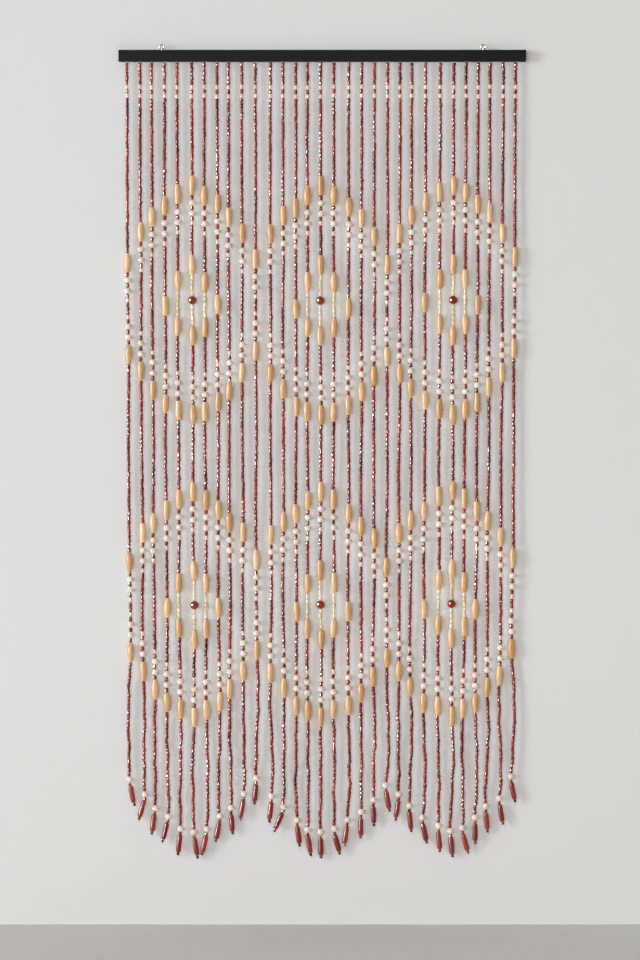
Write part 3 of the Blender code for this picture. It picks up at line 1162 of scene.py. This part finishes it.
# %% [markdown]
# ## The batten's paint
#
# The batten keeps its own shape from the frame and only gets its finish: matt black paint, brushed along
# the lath, with the brush marks faintly raised.

# %% Batten paint
rail_paint, tree = new_material("rail_paint")
where = add_node(tree, "ShaderNodeTexCoord").outputs["Object"]
lengthwise = add_node(tree, "ShaderNodeMapping", Vector=where, Scale=(9, 160, 160)).outputs["Vector"]
brush = noise_value(tree, Vector=lengthwise, Scale=4.0, Detail=5.0)
dust = noise_value(tree, Vector=where, Scale=35.0, Detail=4.0)
close_principled(
    tree,
    Base_Color=mix_colour(tree, dust, (0.005, 0.005, 0.0055, 1), (0.009, 0.009, 0.0095, 1)),
    Roughness=between(tree, brush, 0.42, 0.62),
    Normal=raised(tree, brush, strength=0.35, distance=0.0003),
    Specular_IOR_Level=0.09,
)
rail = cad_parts["rail"]
rail.data.materials.clear()
rail.data.materials.append(rail_paint)
for column in COLUMNS:
    show(f"strip_{column}", strip_mesh(f"strip_{column}", column), column, rail_paint)

# %% [markdown]
# ## The screw eyes
#
# A screw eye is one piece of wire: a straight shank that goes into the batten, and a ring that comes
# round and almost meets it again. The wire's section is spun round the ring's middle, stopping a little
# short, and the shank is a rod.

# %% Screw eyes
EYE_WIRE_R = 0.0011
EYE_RING_R = 0.0051
EYE_GAP = 16.0
EYE_STEPS = 44
EYE_SHARP_ANGLE = math.radians(40)
SHANK_R = 0.0014
SHANK_TAPER = 0.6


def eye_mesh(name):
    """A screw eye as large as its node in the frame: the ring, and the shank below it."""
    low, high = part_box(name)
    middle = Vector(((low.x + high.x) / 2, MID_DEPTH, high.z - EYE_WIRE_R - EYE_RING_R))
    bm = bmesh.new()
    section = Matrix.Translation(middle + Vector((0, 0, -EYE_RING_R))) @ Matrix.Rotation(math.pi / 2, 4, "Y")
    ring = bmesh.ops.create_circle(bm, cap_ends=True, segments=12, radius=EYE_WIRE_R, matrix=section)
    faces = list({face for vert in ring["verts"] for face in vert.link_faces})
    turn = {"cent": middle, "axis": (0, 1, 0), "angle": math.radians(360 - EYE_GAP), "steps": EYE_STEPS}
    bmesh.ops.spin(bm, geom=faces, **turn)
    length = middle.z - EYE_RING_R - low.z
    place = Matrix.Translation((middle.x, middle.y, low.z + length / 2))
    bmesh.ops.create_cone(
        bm,
        cap_ends=True,
        segments=16,
        radius1=SHANK_R * SHANK_TAPER,
        radius2=SHANK_R,
        depth=length,
        matrix=place,
    )
    bmesh.ops.recalc_face_normals(bm, faces=bm.faces)
    mesh = bpy.data.meshes.new(name)
    bm.to_mesh(mesh)
    bm.free()
    mesh.shade_smooth()
    mesh.set_sharp_from_angle(angle=EYE_SHARP_ANGLE)
    return mesh


zinc, tree = new_material("zinc_wire")
where = add_node(tree, "ShaderNodeTexCoord").outputs["Object"]
drawn = noise_value(tree, Vector=where, Scale=900.0, Detail=3.0)
wire_tone = mix_colour(tree, drawn, (0.26, 0.26, 0.25, 1), (0.36, 0.36, 0.34, 1))
close_principled(tree, Base_Color=wire_tone, Metallic=1.0, Roughness=between(tree, drawn, 0.30, 0.45))
for side_name in ("left", "right"):
    node = f"eye_{side_name}"
    wire = bpy.data.objects.new(f"screw_eye_{side_name}", eye_mesh(node))
    wire.data.materials.append(zinc)
    bpy.context.scene.collection.objects.link(wire)
    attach(wire, "root")
    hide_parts(node)
    print(f"{wire.name}: {len(wire.data.polygons)} faces")

# %% [markdown]
# ## Sizes
#
# The dressed curtain has to fill the frame's box and hardly more. The frame's box is printed.

# %% Sizes
print("frame box:", [[round(value, 4) for value in corner] for corner in cad_box])
